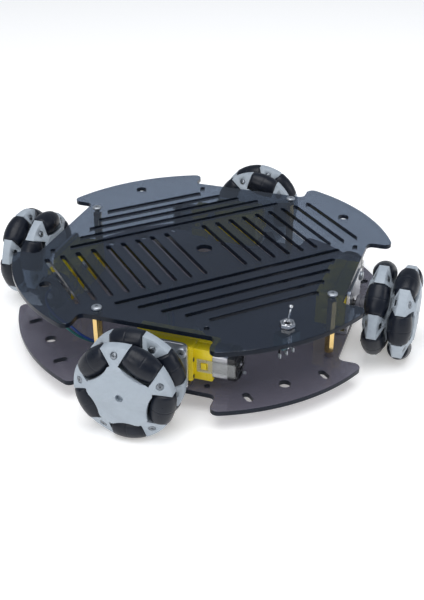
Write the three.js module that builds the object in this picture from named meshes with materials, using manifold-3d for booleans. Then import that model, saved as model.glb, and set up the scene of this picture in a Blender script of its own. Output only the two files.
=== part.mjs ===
// Four wheel robot chassis: two slotted acrylic decks on four standoffs, with a gear motor, its
// bracket and a double-row omni wheel in each of the four notches, and a toggle switch at the front.
// Millimetres, +Z up. The origin is on the floor under the middle of the decks, and front is -Y.
import * as THREE from 'three';
import { mergeVertices } from 'three/addons/utils/BufferGeometryUtils.js';
import Module from 'manifold-3d';

const wasm = await Module();
wasm.setup();

// ---- driving dimensions -------------------------------------------------------------------------
const GAP = 0.3; // clearance between pieces that would otherwise touch
const WHEEL_RADIUS = 29;
const DECK_RADIUS = 119;
const DECK_THICKNESS = 3;
const BOTTOM_DECK_Z = 10.5; // underside of the bottom deck
const DECK_SPACING = 35; // clear height between the decks, the standoff length
const NOTCH_FLAT = 96; // distance from the centre to a wheel notch's flat
const NOTCH_HALF_WIDTH = 40;
const NOTCH_INNER_RADIUS = 4;
const NOTCH_OUTER_RADIUS = 4.5;
const M3_HOLE_RADIUS = 1.6;
const M3_RADIUS = 1.25;
const M3_HEAD_RADIUS = 2.75;
const M3_HEAD_HEIGHT = 2;
const STANDOFF_HALF_FLATS = 2.5;
const BITE = 1; // how far pieces that are joined into one solid run into each other
const HEX_CORNER = 1 / Math.cos(Math.PI / 6); // a hexagon's corner radius over its half flats

// Each wheel station faces outwards along its heading, in degrees from +X. The phase is the angle of
// one roller of the outer row, from the station's sideways axis towards up.
const STATIONS = [
  { name: 'front_left', heading: 225, phase: 61 },
  { name: 'front_right', heading: 315, phase: 31 },
  { name: 'back_right', heading: 45, phase: 69.5 },
  { name: 'back_left', heading: 135, phase: 60 },
];

const BOTTOM_DECK_TOP = BOTTOM_DECK_Z + DECK_THICKNESS;
const TOP_DECK_Z = BOTTOM_DECK_TOP + DECK_SPACING;
const TOP_DECK_TOP = TOP_DECK_Z + DECK_THICKNESS;

// Deck openings. The small holes stand at (+-40, +-86) and (+-86, +-40).
const PILLAR_X = 86;
const PILLAR_Y = 40;
const LOBE_HOLE_DISTANCE = 103.5;
const LOBE_HOLE_RADIUS = 3.4;
const CENTRE_HOLE_RADIUS = 5;
const SLOT_WIDTH = 3;
const SLOT_PITCH = 10;
const SHORT_SLOTS = { count: 9, first: 13.4, halfLength: 30.5 };
const LONG_SLOTS = { count: 5, first: 39, halfLength: 75 };
const LOBE_SLOT = { offset: 24.5, distance: 105.5, length: 8.5, width: 4 };

// Omni wheel, along its own axis from the middle of the chassis outwards
const INNER_ROW = 112.5;
const ROW_PITCH = 15;
const ROW_HALF_WIDTH = 7.5;
const ROLLERS_PER_ROW = 5;
const ROLLER_STEP = 360 / ROLLERS_PER_ROW;
const ROLLER_RADIUS = 7.25;
const ROLLER_LENGTH = 18.6;
const ROLLER_SEAT = WHEEL_RADIUS - ROLLER_RADIUS; // wheel axis to roller axis
const ROLLER_BORE_RADIUS = 1.55;
const PIN_RADIUS = 1.2;
const POCKET_RADIUS = 8.2; // the room each roller turns in, cut as an octagon
const WINDOW_HALF_WIDTH = ROLLER_LENGTH / 2 + GAP;
const WINDOW_CORNER = 18; // how far out the window's inner corners stand
const WINDOW_FLOOR = 15.6; // how far out the middle of the window's curved edge stands
const ARM_RADIUS = 28.4;
const ARM_RIM_HALF_WIDTH = 2.4;
const ARM_SHOULDER = 17; // where the arms start to taper
const HUB_BOSS_RADIUS = 6;
const HUB_BOSS_START = 98;
const HUB_HOLE = { radius: 2.25, depth: 1.5 }; // the shallow hole in the middle of the outer face
const PIN_SEAT = 1.2; // how far a pin runs into the arm at each end
const SHAFT_RADIUS = 2.7;
const SHAFT_DEPTH = 7; // how far the output shaft runs into the gearbox

// Bracket and gear motor, on the same station axes: x sideways, y up, z outwards
const BRACKET = { left: -12.5, right: 23.5, top: 14, thickness: 2, flangeDepth: 16, corner: 3.5 };
const BRACKET_SHAFT_HOLE_RADIUS = 4;
const NUT = { halfFlats: 2.7, height: 2.4, screwEnd: 3 };
const GEARBOX = { left: -11.3, right: 26, halfHeight: 11.2, thickness: 18.5 };
const GEARBOX_FACE = NOTCH_FLAT - BRACKET.thickness - GAP;
const MOTOR_MIDDLE = GEARBOX_FACE - GEARBOX.thickness / 2;
const MOTOR_SCREW = { x: 20.5, y: 8.75 };
const FLANGE_SCREW_X = [-6, 17];
const MOTOR_SCREW_HOLE_RADIUS = 1.65;
const EAR = { length: 5, halfHeight: 3, halfThickness: 1.5, hole: 1.5, holeFromBox: 2.6 };
const CAN_RADIUS = 10;
const CAN_HALF_FLATS = 7.75;
const NECK_END = 37;
const CAN_END = 45.3;
const CAP_END = 50.3;
const CAN_BEARING = { radius: 3, length: 1 };
const STRAP = { start: 28, halfWidth: 4, thickness: 1 };

// Toggle switch, in the front lobe hole
const SWITCH = { width: 13, depth: 8, height: 9.5 };
const BUSHING = { radius: 2.95, top: 4, socketFloor: 1.6, socketMouth: 2.5, socketDrop: 0.6 };
const SWITCH_NUT = { halfFlats: 4, height: 2.2 };
const LUG = { pitch: 4.7, halfThickness: 0.4, halfWidth: 1, length: 4 };
const LEVER_PIVOT = 2; // above the top deck
const LEVER_LEAN = 10; // degrees off upright, towards +X
const LEVER_REACH = 11.5; // from the pivot to the tip
const LEVER_NECK_RADIUS = 0.9;
const LEVER_BAT_RADIUS = 1.35;

const WELD = 1e-4; // vertices nearer than this are one vertex

// ---- geometry helpers ---------------------------------------------------------------------------
const radians = THREE.MathUtils.degToRad;

function toSolid(geometry) {
  const bare = geometry.clone();
  bare.deleteAttribute('normal');
  bare.deleteAttribute('uv');
  const merged = mergeVertices(bare, WELD);
  const index = merged.index.array;
  const triangles = [];
  for (let i = 0; i < index.length; i += 3) {
    const [a, b, c] = index.subarray(i, i + 3);
    if (a !== b && b !== c && c !== a) triangles.push(a, b, c);
  }
  const vertProperties = new Float32Array(merged.attributes.position.array);
  const triVerts = new Uint32Array(triangles);
  return new wasm.Manifold(new wasm.Mesh({ numProp: 3, vertProperties, triVerts }));
}

function toGeometry(solid) {
  const mesh = solid.getMesh();
  const geometry = new THREE.BufferGeometry();
  geometry.setAttribute('position', new THREE.BufferAttribute(new Float32Array(mesh.vertProperties), 3));
  geometry.setIndex(new THREE.BufferAttribute(new Uint32Array(mesh.triVerts), 1));
  return geometry;
}

function join(first, ...rest) {
  return toGeometry(rest.reduce((sum, geometry) => sum.add(toSolid(geometry)), toSolid(first)));
}

function cut(first, ...rest) {
  return toGeometry(rest.reduce((sum, geometry) => sum.subtract(toSolid(geometry)), toSolid(first)));
}

// A cylinder along z from one height to another
function rod(radius, from, to, sides = 12) {
  const geometry = new THREE.CylinderGeometry(radius, radius, to - from, sides);
  return geometry.rotateX(Math.PI / 2).translate(0, 0, (from + to) / 2);
}

function block(x0, x1, y0, y1, z0, z1) {
  const geometry = new THREE.BoxGeometry(x1 - x0, y1 - y0, z1 - z0);
  return geometry.translate((x0 + x1) / 2, (y0 + y1) / 2, (z0 + z1) / 2);
}

function arcPoints(x, y, radius, from, to, steps) {
  const points = [];
  for (let i = 0; i <= steps; i++) {
    const angle = radians(from + ((to - from) * i) / steps);
    points.push(new THREE.Vector2(x + radius * Math.cos(angle), y + radius * Math.sin(angle)));
  }
  return points;
}

function rotated(points, degrees) {
  const middle = new THREE.Vector2();
  return points.map((point) => point.clone().rotateAround(middle, radians(degrees)));
}

const circle = (x, y, radius, sides = 8) => arcPoints(x, y, radius, 0, 360, sides).slice(1);

// A round-ended slot centred on (x, y), running along the given direction
function slot(x, y, length, width, direction) {
  const reach = (length - width) / 2;
  const ends = [
    ...arcPoints(reach, 0, width / 2, -90, 90, 3),
    ...arcPoints(-reach, 0, width / 2, 90, 270, 3),
  ];
  return rotated(ends, direction).map((p) => p.add(new THREE.Vector2(x, y)));
}

function plate(outline, holes, thickness) {
  const shape = new THREE.Shape(outline);
  shape.holes = holes.map((points) => new THREE.Path(points));
  return new THREE.ExtrudeGeometry(shape, { depth: thickness, bevelEnabled: false });
}

const black = new THREE.MeshStandardMaterial({ color: 0x17191d, roughness: 0.7 });
const smokedAcrylic = new THREE.MeshStandardMaterial({ color: 0x2b2d35, roughness: 0.15 });
const whitePlastic = new THREE.MeshStandardMaterial({ color: 0xd8e2ea, roughness: 0.5 });
const yellowPlastic = new THREE.MeshStandardMaterial({ color: 0xd8c51a, roughness: 0.45 });
const aluminium = new THREE.MeshStandardMaterial({ color: 0xb9bcc0, roughness: 0.4, metalness: 0.9 });
const brass = new THREE.MeshStandardMaterial({ color: 0xcfae6b, roughness: 0.3, metalness: 0.9 });
const chrome = new THREE.MeshStandardMaterial({ color: 0xdadde0, roughness: 0.15, metalness: 1 });

function piece(name, geometry, material, z = 0) {
  const mesh = new THREE.Mesh(geometry, material.clone());
  mesh.name = name;
  mesh.position.z = z;
  return mesh;
}

// ---- decks --------------------------------------------------------------------------------------
// One wheel notch facing +X, from the lobe arc before it to the lobe arc after it
function notchOutline() {
  const side = NOTCH_HALF_WIDTH + NOTCH_OUTER_RADIUS;
  const reach = Math.sqrt((DECK_RADIUS - NOTCH_OUTER_RADIUS) ** 2 - side ** 2);
  const swing = THREE.MathUtils.radToDeg(Math.atan2(side, reach));
  const corner = NOTCH_FLAT + NOTCH_INNER_RADIUS;
  const inner = NOTCH_HALF_WIDTH - NOTCH_INNER_RADIUS;
  const lobe = arcPoints(0, 0, DECK_RADIUS, swing, 90 - swing, 9);
  return [
    ...arcPoints(reach, -side, NOTCH_OUTER_RADIUS, -swing, 90, 3),
    ...arcPoints(corner, -inner, NOTCH_INNER_RADIUS, 270, 180, 3),
    ...arcPoints(corner, inner, NOTCH_INNER_RADIUS, 180, 90, 3),
    ...arcPoints(reach, side, NOTCH_OUTER_RADIUS, -90, swing, 3),
    ...lobe.slice(1, -1),
  ];
}

const deckOutline = () => [45, 135, 225, 315].flatMap((heading) => rotated(notchOutline(), heading));

function smallHoles() {
  const holes = [];
  for (const x of [-1, 1]) {
    for (const y of [-1, 1]) {
      holes.push(circle(x * PILLAR_X, y * PILLAR_Y, M3_HOLE_RADIUS));
      holes.push(circle(x * PILLAR_Y, y * PILLAR_X, M3_HOLE_RADIUS));
    }
  }
  return holes;
}

const LOBES = [0, 90, 180, 270];

function lobeHoles() {
  const hole = circle(LOBE_HOLE_DISTANCE, 0, LOBE_HOLE_RADIUS, 12);
  return LOBES.map((heading) => rotated(hole, heading));
}

function deckSlots() {
  const slots = [];
  for (const side of [-1, 1]) {
    for (let i = 0; i < SHORT_SLOTS.count; i++) {
      const x = side * (SHORT_SLOTS.first + SLOT_PITCH * i);
      slots.push(slot(x, 0, 2 * SHORT_SLOTS.halfLength, SLOT_WIDTH, 90));
    }
    for (let i = 0; i < LONG_SLOTS.count; i++) {
      const y = side * (LONG_SLOTS.first + SLOT_PITCH * i);
      slots.push(slot(0, y, 2 * (LONG_SLOTS.halfLength - SLOT_PITCH * i), SLOT_WIDTH, 0));
    }
  }
  return slots;
}

function lobeSlots() {
  const { distance, offset, length, width } = LOBE_SLOT;
  const pair = [-offset, offset].map((y) => slot(distance, y, length, width, 0));
  return LOBES.flatMap((heading) => pair.map((points) => rotated(points, heading)));
}

// The holes for the screws that hold each bracket's flange from below
const FLANGE_SCREW_DISTANCE = NOTCH_FLAT - BRACKET.flangeDepth / 2;

function flangeHoles() {
  const pair = FLANGE_SCREW_X.map((x) => circle(FLANGE_SCREW_DISTANCE, x, M3_HOLE_RADIUS));
  return STATIONS.flatMap((station) => pair.map((points) => rotated(points, station.heading)));
}

function topDeck() {
  const holes = [circle(0, 0, CENTRE_HOLE_RADIUS, 16), ...smallHoles(), ...lobeHoles(), ...deckSlots()];
  return piece('top_plate', plate(deckOutline(), holes, DECK_THICKNESS), smokedAcrylic, TOP_DECK_Z);
}

function bottomDeck() {
  const holes = [...smallHoles(), ...lobeHoles(), ...lobeSlots(), ...flangeHoles()];
  return piece('bottom_plate', plate(deckOutline(), holes, DECK_THICKNESS), smokedAcrylic, BOTTOM_DECK_Z);
}

// A hex standoff with the screw at each end of it, heads outside the decks
function standoff(name, x, y) {
  const body = join(
    rod(STANDOFF_HALF_FLATS * HEX_CORNER, BOTTOM_DECK_TOP, TOP_DECK_Z, 6),
    rod(M3_RADIUS, BOTTOM_DECK_Z - BITE, TOP_DECK_TOP + BITE, 8),
    rod(M3_HEAD_RADIUS, TOP_DECK_TOP, TOP_DECK_TOP + M3_HEAD_HEIGHT, 10),
    rod(M3_HEAD_RADIUS, BOTTOM_DECK_Z - M3_HEAD_HEIGHT, BOTTOM_DECK_Z, 10),
  );
  const mesh = piece(name, body, brass);
  mesh.position.set(x, y, 0);
  return mesh;
}

// ---- omni wheel ---------------------------------------------------------------------------------
// A disc with a window for each roller; the first roller points along +X
function windowedDisc() {
  const half = THREE.MathUtils.radToDeg(Math.asin(WINDOW_HALF_WIDTH / ARM_RADIUS));
  const depth = WINDOW_CORNER - WINDOW_FLOOR;
  const bow = (WINDOW_HALF_WIDTH ** 2 + depth ** 2) / (2 * depth);
  const sweep = THREE.MathUtils.radToDeg(Math.asin(WINDOW_HALF_WIDTH / bow));
  const windowAndArm = [
    ...arcPoints(WINDOW_FLOOR + bow, 0, bow, 180 + sweep, 180 - sweep, 4),
    ...arcPoints(0, 0, ARM_RADIUS, half, ROLLER_STEP - half, 3),
  ];
  const steps = Array.from({ length: ROLLERS_PER_ROW }, (_, k) => k * ROLLER_STEP);
  return steps.flatMap((turn) => rotated(windowAndArm, turn));
}

// What comes off the face of the arm that points along +X, to taper it towards the rim
function armTaper(side) {
  const slope = Math.atan2(ROW_HALF_WIDTH - ARM_RIM_HALF_WIDTH, ARM_RADIUS - ARM_SHOULDER);
  const half = ARM_SHOULDER * Math.sin(radians(ROLLER_STEP / 2)) + 2 * BITE;
  const wedge = block(0, ARM_SHOULDER, -half, half, 0, ROW_HALF_WIDTH);
  wedge.rotateY(slope).translate(ARM_SHOULDER, 0, ROW_HALF_WIDTH);
  return side > 0 ? wedge : wedge.rotateX(Math.PI);
}

// One row of arms, centred on z = 0, with its roller pins
function hubRow() {
  const disc = plate(windowedDisc(), [], 2 * ROW_HALF_WIDTH).translate(0, 0, -ROW_HALF_WIDTH);
  const removed = [];
  const pins = [];
  for (let k = 0; k < ROLLERS_PER_ROW; k++) {
    const turn = radians(k * ROLLER_STEP);
    const armTurn = radians((k + 0.5) * ROLLER_STEP);
    const pocket = new THREE.CylinderGeometry(POCKET_RADIUS, POCKET_RADIUS, ROLLER_LENGTH + GAP, 8);
    removed.push(pocket.rotateY(Math.PI / 8).translate(ROLLER_SEAT, 0, 0).rotateZ(turn));
    removed.push(armTaper(1).rotateZ(armTurn), armTaper(-1).rotateZ(armTurn));
    const pin = new THREE.CylinderGeometry(PIN_RADIUS, PIN_RADIUS, 2 * (WINDOW_HALF_WIDTH + PIN_SEAT), 6);
    pins.push(pin.translate(ROLLER_SEAT, 0, 0).rotateZ(turn));
  }
  return join(cut(disc, ...removed), ...pins);
}

// Both rows half a step apart, the boss behind them, and the gear motor's output shaft in the boss
function hubGeometry() {
  const row = hubRow();
  const inner = row.clone().rotateZ(radians(ROLLER_STEP / 2)).translate(0, 0, INNER_ROW);
  const outer = row.clone().translate(0, 0, INNER_ROW + ROW_PITCH);
  const boss = rod(HUB_BOSS_RADIUS, HUB_BOSS_START, INNER_ROW, 16);
  const shaft = rod(SHAFT_RADIUS, GEARBOX_FACE - SHAFT_DEPTH, INNER_ROW, 10);
  const face = INNER_ROW + ROW_PITCH + ROW_HALF_WIDTH;
  const hole = rod(HUB_HOLE.radius, face - HUB_HOLE.depth, face + BITE, 10);
  return cut(join(inner, outer, boss, shaft), hole);
}

// A barrel whose sides follow the wheel's own circle, so the wheel rolls round
function rollerGeometry() {
  const half = ROLLER_LENGTH / 2;
  const outer = [];
  const bands = 3;
  for (let i = 0; i <= bands; i++) {
    const along = half * ((2 * i) / bands - 1);
    outer.push(new THREE.Vector2(Math.sqrt(WHEEL_RADIUS ** 2 - along ** 2) - ROLLER_SEAT, along));
  }
  const start = new THREE.Vector2(ROLLER_BORE_RADIUS, -half);
  const end = new THREE.Vector2(ROLLER_BORE_RADIUS, half);
  return new THREE.LatheGeometry([start, ...outer, end, start], 10).rotateY(-Math.PI / 2);
}

function omniWheel(station, hub, roller) {
  const wheel = new THREE.Group();
  wheel.rotation.z = radians(station.phase);
  wheel.add(piece(`wheel_hub_${station.name}`, hub, whitePlastic));
  const rows = [
    { name: 'outer', z: INNER_ROW + ROW_PITCH, turn: 0 },
    { name: 'inner', z: INNER_ROW, turn: ROLLER_STEP / 2 },
  ];
  for (const row of rows) {
    for (let k = 0; k < ROLLERS_PER_ROW; k++) {
      const seat = new THREE.Group();
      seat.rotation.z = radians(row.turn + k * ROLLER_STEP);
      const mesh = piece(`roller_${station.name}_${row.name}_${k + 1}`, roller, black, row.z);
      mesh.position.x = ROLLER_SEAT;
      seat.add(mesh);
      wheel.add(seat);
    }
  }
  return wheel;
}

// ---- motor and bracket --------------------------------------------------------------------------
const SCREW_SPOTS = [
  [MOTOR_SCREW.x, MOTOR_SCREW.y],
  [MOTOR_SCREW.x, -MOTOR_SCREW.y],
];

// The screws up through the bottom deck into the bracket's flange
function flangeScrews(axisHeight, foot) {
  const under = BOTTOM_DECK_Z - axisHeight - GAP;
  return FLANGE_SCREW_X.flatMap((x) => {
    const shank = rod(M3_RADIUS, under - BITE, foot + BITE, 6);
    const head = rod(M3_HEAD_RADIUS, under - M3_HEAD_HEIGHT, under, 8);
    return [shank, head].map((g) => g.rotateX(-Math.PI / 2).translate(x, 0, FLANGE_SCREW_DISTANCE));
  });
}

// An angle bracket with the two screws and nuts that hold the gearbox and the two that hold the flange
function bracketGeometry(axisHeight) {
  const foot = BOTTOM_DECK_TOP - axisHeight + GAP;
  const { left, right, top, thickness, flangeDepth, corner } = BRACKET;
  const outline = [
    new THREE.Vector2(left, foot),
    new THREE.Vector2(right, foot),
    ...arcPoints(right - corner, top - corner, corner, 0, 90, 3),
    ...arcPoints(left + corner, top - corner, corner, 90, 180, 3),
  ];
  const upright = plate(outline, [circle(0, 0, BRACKET_SHAFT_HOLE_RADIUS, 12)], thickness);
  upright.translate(0, 0, NOTCH_FLAT - thickness);
  const flange = block(left, right, foot, foot + thickness, NOTCH_FLAT - flangeDepth, NOTCH_FLAT);
  const back = GEARBOX_FACE - GEARBOX.thickness - GAP;
  const screws = SCREW_SPOTS.flatMap(([x, y]) => [
    rod(M3_RADIUS, back - NUT.screwEnd, NOTCH_FLAT + BITE, 6).translate(x, y, 0),
    rod(M3_HEAD_RADIUS, NOTCH_FLAT - BITE, NOTCH_FLAT + M3_HEAD_HEIGHT, 8).translate(x, y, 0),
    rod(NUT.halfFlats * HEX_CORNER, back - NUT.height, back, 6).translate(x, y, 0),
  ]);
  return join(upright, flange, ...screws, ...flangeScrews(axisHeight, foot));
}

// The flat-sided can, its end cap and the bearing boss behind it
function canGeometries() {
  const round = arcPoints(0, 0, CAN_RADIUS, 0, 360, 20).slice(1);
  const flat = (x) => THREE.MathUtils.clamp(x, -CAN_HALF_FLATS, CAN_HALF_FLATS);
  const section = round.map((point) => new THREE.Vector2(flat(point.x), point.y));
  const can = plate(section, [], CAN_END - NECK_END + BITE).translate(0, 0, NECK_END - BITE);
  const cap = plate(section, [], CAP_END - CAN_END).translate(0, 0, CAN_END);
  const bearing = rod(CAN_BEARING.radius, CAP_END - GAP, CAP_END + CAN_BEARING.length, 10);
  return [can, cap, bearing].map((g) => g.rotateY(Math.PI / 2).translate(0, 0, MOTOR_MIDDLE));
}

// The U-shaped strap over both flats of the can and round its end
function strapGeometries() {
  const outside = CAN_HALF_FLATS + STRAP.thickness;
  const end = CAP_END + STRAP.thickness;
  const { start, halfWidth } = STRAP;
  const blocks = [
    block(start, end, -halfWidth, halfWidth, CAN_HALF_FLATS - BITE, outside),
    block(start, end, -halfWidth, halfWidth, -outside, BITE - CAN_HALF_FLATS),
    block(CAP_END - GAP, end, -halfWidth, halfWidth, -outside, outside),
  ];
  return blocks.map((geometry) => geometry.translate(0, 0, MOTOR_MIDDLE));
}

// The gearbox with its front ear and narrower neck, the motor can, its end cap and the strap
function motorGeometry() {
  const { left, right, halfHeight, thickness } = GEARBOX;
  const back = GEARBOX_FACE - thickness;
  const box = block(left, right, -halfHeight, halfHeight, back, GEARBOX_FACE);
  const neck = block(right - BITE, NECK_END, -CAN_RADIUS, CAN_RADIUS, -CAN_HALF_FLATS, CAN_HALF_FLATS);
  const ear = block(
    left - EAR.length, left + BITE, -EAR.halfHeight, EAR.halfHeight, -EAR.halfThickness, EAR.halfThickness,
  );
  neck.translate(0, 0, MOTOR_MIDDLE);
  ear.translate(0, 0, MOTOR_MIDDLE);
  const holes = SCREW_SPOTS.map(([x, y]) =>
    rod(MOTOR_SCREW_HOLE_RADIUS, back - BITE, GEARBOX_FACE + BITE, 10).translate(x, y, 0));
  const earHole = rod(EAR.hole, MOTOR_MIDDLE - 2 * BITE, MOTOR_MIDDLE + 2 * BITE, 8);
  earHole.translate(left - EAR.holeFromBox, 0, 0);
  const shaftHole = rod(SHAFT_RADIUS + GAP, GEARBOX_FACE - SHAFT_DEPTH - GAP, GEARBOX_FACE + BITE, 12);
  const whole = join(box, neck, ear, ...canGeometries(), ...strapGeometries());
  return cut(whole, ...holes, earHole, shaftHole);
}

// ---- toggle switch ------------------------------------------------------------------------------
function switchBody() {
  const { radius, top, socketFloor, socketMouth, socketDrop } = BUSHING;
  const nut = rod(SWITCH_NUT.halfFlats * HEX_CORNER, TOP_DECK_TOP, TOP_DECK_TOP + SWITCH_NUT.height, 6);
  const bushing = rod(radius, TOP_DECK_Z - BITE, TOP_DECK_TOP + top, 12);
  const bottom = TOP_DECK_Z - SWITCH.height;
  const x = SWITCH.width / 2;
  const y = SWITCH.depth / 2;
  const box = block(-x, x, -y, y, bottom, TOP_DECK_Z);
  const { pitch, halfThickness, halfWidth, length } = LUG;
  const lugs = [-pitch, 0, pitch].map((middle) =>
    block(-halfThickness, halfThickness, -halfWidth, halfWidth, -length, BITE).translate(middle, 0, bottom));
  const depth = top + 2 * socketDrop;
  const socket = new THREE.CylinderGeometry(socketMouth, socketFloor, depth, 12).rotateX(Math.PI / 2);
  socket.translate(0, 0, TOP_DECK_TOP + top / 2 + socketDrop);
  const mesh = piece('switch_body', cut(join(box, bushing, nut, ...lugs), socket), chrome);
  mesh.position.y = -LOBE_HOLE_DISTANCE;
  return mesh;
}

// A bat lever, thicker towards its round tip, turning about the middle of the bushing
function switchLever() {
  const profile = [
    [0, -LEVER_NECK_RADIUS],
    [LEVER_NECK_RADIUS, 0],
    [LEVER_NECK_RADIUS, LEVER_BAT_RADIUS],
    [LEVER_BAT_RADIUS, LEVER_REACH - 2 * LEVER_BAT_RADIUS],
    [LEVER_BAT_RADIUS, LEVER_REACH - LEVER_NECK_RADIUS],
    [0, LEVER_REACH],
  ].map(([r, z]) => new THREE.Vector2(r, z));
  const lever = piece('switch_lever', new THREE.LatheGeometry(profile, 10).rotateX(Math.PI / 2), chrome);
  lever.position.set(0, -LOBE_HOLE_DISTANCE, TOP_DECK_TOP + LEVER_PIVOT);
  lever.rotation.y = radians(LEVER_LEAN);
  return lever;
}

// ---- assembly -----------------------------------------------------------------------------------
const chassis = new THREE.Group();
chassis.add(topDeck(), bottomDeck(), switchBody(), switchLever());

const hub = hubGeometry();
const roller = rollerGeometry();
const bracket = bracketGeometry(WHEEL_RADIUS);
const motor = motorGeometry();

for (const station of STATIONS) {
  const [spot] = rotated([new THREE.Vector2(PILLAR_X, PILLAR_Y)], station.heading - 45);
  chassis.add(standoff(`standoff_${station.name}`, spot.x, spot.y));
  const mount = new THREE.Group();
  mount.position.z = WHEEL_RADIUS;
  mount.rotation.set(Math.PI / 2, 0, radians(station.heading + 90), 'ZYX');
  mount.add(piece(`motor_bracket_${station.name}`, bracket, aluminium));
  mount.add(piece(`gear_motor_${station.name}`, motor, yellowPlastic));
  mount.add(omniWheel(station, hub, roller));
  chassis.add(mount);
}

export default chassis;
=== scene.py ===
import math
import random

import bmesh
import bpy
from mathutils import Matrix, Vector


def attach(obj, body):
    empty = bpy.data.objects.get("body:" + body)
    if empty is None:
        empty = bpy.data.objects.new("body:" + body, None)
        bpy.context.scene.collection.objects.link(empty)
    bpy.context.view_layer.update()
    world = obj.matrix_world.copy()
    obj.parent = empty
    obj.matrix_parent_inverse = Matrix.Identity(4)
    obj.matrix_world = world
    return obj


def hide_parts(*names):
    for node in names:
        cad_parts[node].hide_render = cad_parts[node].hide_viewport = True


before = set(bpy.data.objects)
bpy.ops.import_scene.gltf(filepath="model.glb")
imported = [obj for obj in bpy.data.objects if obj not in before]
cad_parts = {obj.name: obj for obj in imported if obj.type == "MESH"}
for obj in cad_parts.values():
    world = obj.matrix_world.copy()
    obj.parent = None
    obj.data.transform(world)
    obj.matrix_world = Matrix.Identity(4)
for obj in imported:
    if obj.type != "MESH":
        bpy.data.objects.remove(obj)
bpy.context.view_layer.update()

# ---- sizes in millimetres, as the solids have them ------------------------------------------------
MM = 0.001
QUARTERS = (0, 90, 180, 270)
AXLE_HEIGHT = 29.0
WHEEL_RADIUS = 29.0
DECK_RADIUS = 119.0
DECK_THICKNESS = 3.0
BOTTOM_DECK_Z = 10.5
BOTTOM_DECK_TOP = BOTTOM_DECK_Z + DECK_THICKNESS
TOP_DECK_Z = 48.5
TOP_DECK_TOP = TOP_DECK_Z + DECK_THICKNESS
NOTCH_FLAT = 96.0
NOTCH_HALF_WIDTH = 40.0
NOTCH_INNER_RADIUS = 4.0
NOTCH_OUTER_RADIUS = 4.5
M3_HOLE = 1.6
M3_SHANK = 1.25
PILLAR = (86.0, 40.0)
LOBE_HOLE = (103.5, 3.4)  # distance, radius
CENTRE_HOLE = 5.0
SLOT_WIDTH = 3.0
SLOT_PITCH = 10.0
SHORT_SLOTS = (9, 13.4, 30.5)  # how many, the first one's distance, half its length
LONG_SLOTS = (5, 39.0, 75.0)
LOBE_SLOT = (105.5, 24.5, 8.5, 4.0)  # distance, offset, length, width
INNER_ROW = 112.5
ROW_PITCH = 15.0
ROW_HALF = 7.5
ROLLERS = 5
STEP = 360 / ROLLERS
ROLLER_SEAT = 21.75
ROLLER_HALF = 9.3
POCKET_RADIUS = 8.2
WINDOW = (9.6, 18.0, 15.6)  # half width, how far out its corners stand, how far out its middle
ARM_RADIUS = 28.4
ARM_RIM = 2.4
ARM_SHOULDER = 17.0
ARM_SLOPE = math.atan2(ROW_HALF - ARM_RIM, ARM_RADIUS - ARM_SHOULDER)
ARM_SCREW = 24.3
ARM_SEAT = (2.15, 0.7)  # radius, depth
PIN_RADIUS = 1.2
HUB_HOLE = (2.25, 2.6)
MOTOR_MIDDLE = 84.45
GEARBOX_FACE = 93.7
GEARBOX_BACK = 75.2
GEARBOX_SEAM = 0.12
GEARBOX_HALF = 11.2
GEARBOX_ENDS = (-11.3, 26)
NECK_HALF = 10
NECK_HALF_DEPTH = 7.6
NECK_END = 37
EAR_HOLE = -13.9
CAN_START = 36.7
CAN_LENGTH = 8.6
CAP_START = 45.3
BRUSH_OFFSET = 7.2
SHAFT = (2.7, 1.85)  # radius, half across its flats
MOTOR_SCREWS = ((20.5, 8.75), (20.5, -8.75))
FLANGE_SCREWS = (-6.0, 17.0)
FLANGE_SCREW_DISTANCE = 88.0
STATIONS = (  # name, heading of the axle, turn of the wheel about it
    ("front_left", 225, 61),
    ("front_right", 315, 31),
    ("back_right", 45, 69.5),
    ("back_left", 135, 60),
)

# ---- camera ---------------------------------------------------------------------------------------
LENS = 55.2
SENSOR_WIDTH = 36
CAMERA_PLACE = (-0.22164, -0.46528, 0.31467)
CAMERA_TURN = (59.718, 0.203, -26.112)  # degrees


def add_camera():
    data = bpy.data.cameras.new("camera")
    data.lens = LENS
    data.sensor_width = SENSOR_WIDTH
    camera = bpy.data.objects.new("camera", data)
    camera.location = CAMERA_PLACE
    camera.rotation_euler = [math.radians(a) for a in CAMERA_TURN]
    bpy.context.scene.collection.objects.link(camera)
    bpy.context.scene.camera = camera


add_camera()


# ---- materials ------------------------------------------------------------------------------------
NOISE_BAND = (0.3, 0.7)  # where most of a noise's values lie
GRAIN_DEPTH = 0.0002  # metres


def noise(tree, coords, scale, detail=2.0):
    node = tree.nodes.new("ShaderNodeTexNoise")
    node.inputs["Scale"].default_value = scale
    node.inputs["Detail"].default_value = detail
    tree.links.new(coords.outputs["Object"], node.inputs["Vector"])
    return node


def spread(tree, clouds, low, high):
    """A noise's values drawn out to run from low to high."""
    node = tree.nodes.new("ShaderNodeMapRange")
    for socket, value in zip(node.inputs[1:5], (*NOISE_BAND, low, high)):
        socket.default_value = value
    tree.links.new(clouds.outputs["Fac"], node.inputs["Value"])
    return node.outputs["Result"]


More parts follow.
